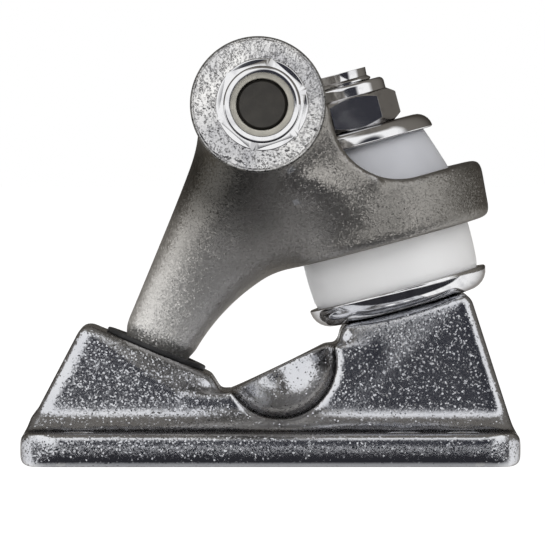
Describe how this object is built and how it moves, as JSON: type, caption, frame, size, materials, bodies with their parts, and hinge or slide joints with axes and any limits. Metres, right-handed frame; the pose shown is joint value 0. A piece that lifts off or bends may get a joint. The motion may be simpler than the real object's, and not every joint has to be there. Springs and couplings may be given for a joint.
{
  "type": "skateboard truck",
  "caption": "Skateboard truck: cast baseplate and hanger on a sprung kingpin with two bushings, pivoting in a cup, with a threaded axle for wheels.",
  "frame": {"origin": "middle of the baseplate's underside, the face that bolts to the deck", "axes": "+Z away from the deck towards the axle, +Y along the axle, +X from the pivot to the kingpin"},
  "size_m": [0.0826, 0.2042, 0.0704],
  "materials": {
    "cast_base": "tumbled casting",
    "cast_hanger": "satin bead blasted casting",
    "plated_steel": "bright zinc plating",
    "axle_steel": "dark hardened steel",
    "bushing_urethane": "smooth white urethane",
    "cup_urethane": "matt black urethane",
    "nylon": "matt nylon"
  },
  "bodies": {
    "base": {"baseplate": "cast_base", "pivot_cup": "cup_urethane", "kingpin": "plated_steel", "bottom_washer": "plated_steel", "bottom_bushing": "bushing_urethane", "top_bushing": "bushing_urethane"},
    "hanger": {"hanger": "cast_hanger", "axle": "axle_steel"},
    "top_washer": {"top_washer": "plated_steel"},
    "kingpin_nut": {"kingpin_nut": "plated_steel", "kingpin_nut_insert": "nylon"},
    "axle_washer_inner_left": {"axle_washer_inner_left": "plated_steel"},
    "axle_washer_outer_left": {"axle_washer_outer_left": "plated_steel"},
    "axle_nut_left": {"axle_nut_left": "plated_steel", "axle_nut_insert_left": "nylon"},
    "axle_washer_inner_right": {"axle_washer_inner_right": "plated_steel"},
    "axle_washer_outer_right": {"axle_washer_outer_right": "plated_steel"},
    "axle_nut_right": {"axle_nut_right": "plated_steel", "axle_nut_insert_right": "nylon"}
  },
  "joints": [
    {"name": "steer", "type": "hinge", "parent": "base", "child": "hanger", "pos_m": [-0.02243, 0, 0.01044], "axis": [0.7985, 0, 0.602], "range_deg": [-10, 10], "stiffness_Nm_per_rad": 40, "deforming": ["bottom_bushing", "top_bushing"]},
    {"name": "top_washer_slide", "type": "slide", "parent": "base", "child": "top_washer", "axis": [0.2588, 0, -0.9659], "range_m": [-0.00106, 0.00106], "deforming": ["top_bushing"]},
    {"name": "kingpin_nut_turn", "type": "hinge", "parent": "top_washer", "child": "kingpin_nut", "pos_m": [0.0222, 0, 0.0255], "axis": [0.2588, 0, -0.9659], "range_deg": [-360, 360], "deforming": ["top_bushing"]},
    {"name": "inner_washer_slide_left", "type": "slide", "parent": "hanger", "child": "axle_washer_inner_left", "axis": [0, -1, 0], "range_m": [0, 0.016]},
    {"name": "outer_washer_slide_left", "type": "slide", "parent": "hanger", "child": "axle_washer_outer_left", "axis": [0, 1, 0], "range_m": [0, 0.00529]},
    {"name": "axle_nut_turn_left", "type": "hinge", "parent": "axle_washer_outer_left", "child": "axle_nut_left", "pos_m": [-0.00145, -0.098, 0.0596], "axis": [0, 1, 0], "range_deg": [0, 1800]},
    {"name": "inner_washer_slide_right", "type": "slide", "parent": "hanger", "child": "axle_washer_inner_right", "axis": [0, 1, 0], "range_m": [0, 0.016]},
    {"name": "outer_washer_slide_right", "type": "slide", "parent": "hanger", "child": "axle_washer_outer_right", "axis": [0, -1, 0], "range_m": [0, 0.00529]},
    {"name": "axle_nut_turn_right", "type": "hinge", "parent": "axle_washer_outer_right", "child": "axle_nut_right", "pos_m": [-0.00145, 0.098, 0.0596], "axis": [0, -1, 0], "range_deg": [0, 1800]}
  ],
  "couplings": [
    {"joint": "top_washer_slide", "follows": "kingpin_nut_turn", "m_per_rad": 0.00016844},
    {"joint": "outer_washer_slide_left", "follows": "axle_nut_turn_left", "m_per_rad": 0.00016844},
    {"joint": "outer_washer_slide_right", "follows": "axle_nut_turn_right", "m_per_rad": 0.00016844}
  ]
}
